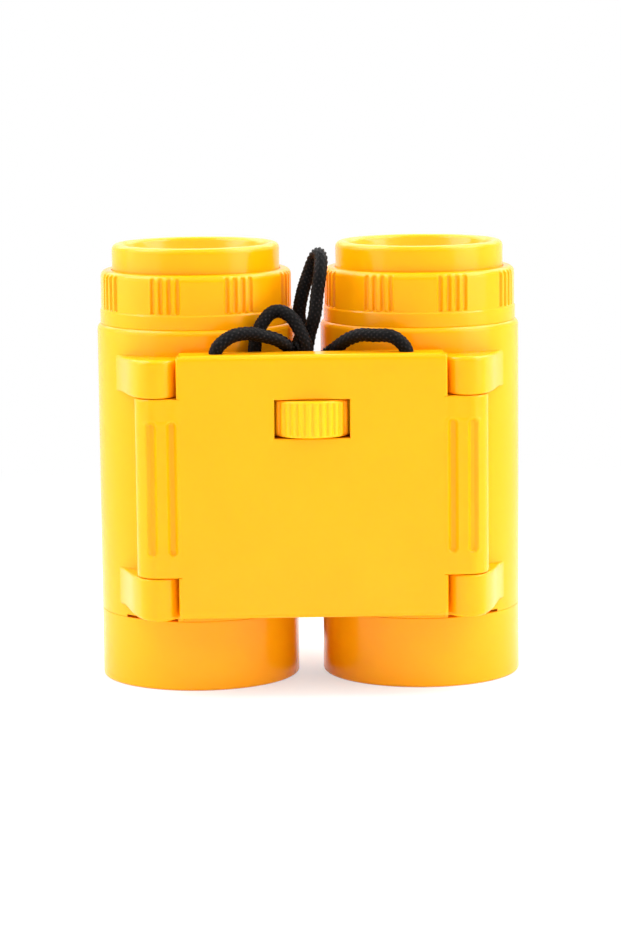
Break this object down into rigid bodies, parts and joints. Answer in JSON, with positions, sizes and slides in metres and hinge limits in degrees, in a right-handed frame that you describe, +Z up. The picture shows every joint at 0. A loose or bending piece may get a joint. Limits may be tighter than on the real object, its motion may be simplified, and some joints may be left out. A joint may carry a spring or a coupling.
{
  "type": "toy binoculars",
  "caption": "Folding toy binoculars with hinged barrels, ribbed focus rings, sliding eyecups, a thumb wheel in a flat bridge and a neck cord.",
  "frame": {"origin": "on the surface that the bells stand on, under the middle of the binoculars' box", "axes": "+Z up along the barrels to the eyecups, +X across both barrels, -Y to the bridge plate and focus wheel"},
  "size_m": [0.0866, 0.0877, 0.0896],
  "materials": {
    "yellow_plastic": "glossy moulded yellow plastic",
    "black_plastic": "matt black plastic",
    "steel": "plain steel",
    "lens": "clear moulded lens",
    "cord": "black braided cord",
    "tie": "black woven band"
  },
  "bodies": {
    "bridge": {"bridge_front_cover": "yellow_plastic", "bridge_rear_cover": "yellow_plastic", "bridge_screws": "steel", "wheel_axle": "steel", "left_hinge_pin": "steel", "right_hinge_pin": "steel", "left_cord_knot": "cord", "right_cord_knot": "cord", "cord_left_run": "cord", "cord_coil": "cord", "cord_right_run": "cord", "cord_tie": "tie"},
    "wheel": {"focus_wheel": "yellow_plastic"},
    "left_barrel": {"left_barrel_tube": "yellow_plastic", "left_objective_bell": "yellow_plastic", "left_objective_lens": "lens", "left_objective_retainer": "black_plastic"},
    "right_barrel": {"right_barrel_tube": "yellow_plastic", "right_objective_bell": "yellow_plastic", "right_objective_lens": "lens", "right_objective_retainer": "black_plastic"},
    "left_ring": {"left_focus_ring": "yellow_plastic"},
    "right_ring": {"right_focus_ring": "yellow_plastic"},
    "left_eyepiece": {"left_eyecup": "yellow_plastic", "left_ocular_lens": "lens", "left_ocular_retainer": "black_plastic"},
    "right_eyepiece": {"right_eyecup": "yellow_plastic", "right_ocular_lens": "lens", "right_ocular_retainer": "black_plastic"}
  },
  "joints": [
    {"name": "left_fold", "type": "hinge", "parent": "bridge", "child": "left_barrel", "pos_m": [-0.03105, -0.01905, 0.0427], "axis": [0, 0, 1], "range_deg": [0, 48]},
    {"name": "right_fold", "type": "hinge", "parent": "bridge", "child": "right_barrel", "pos_m": [0.03105, -0.01905, 0.0427], "axis": [0, 0, -1], "range_deg": [0, 48]},
    {"name": "left_focus_turn", "type": "hinge", "parent": "left_barrel", "child": "left_ring", "pos_m": [-0.02295, 0.0047, 0.0793], "axis": [0, 0, 1], "range_deg": [-120, 120]},
    {"name": "right_focus_turn", "type": "hinge", "parent": "right_barrel", "child": "right_ring", "pos_m": [0.02295, 0.0047, 0.0793], "axis": [0, 0, 1], "range_deg": [-120, 120]},
    {"name": "left_eyecup_slide", "type": "slide", "parent": "left_barrel", "child": "left_eyepiece", "axis": [0, 0, 1], "range_m": [-0.002, 0.002]},
    {"name": "right_eyecup_slide", "type": "slide", "parent": "right_barrel", "child": "right_eyepiece", "axis": [0, 0, 1], "range_m": [-0.002, 0.002]},
    {"name": "wheel_spin", "type": "hinge", "parent": "bridge", "child": "wheel", "pos_m": [0, -0.0165, 0.0564], "axis": [0, 0, 1], "continuous": true}
  ],
  "couplings": [
    {"joint": "left_focus_turn", "follows": "left_eyecup_slide", "rad_per_m": 1047},
    {"joint": "right_focus_turn", "follows": "right_eyecup_slide", "rad_per_m": 1047}
  ]
}
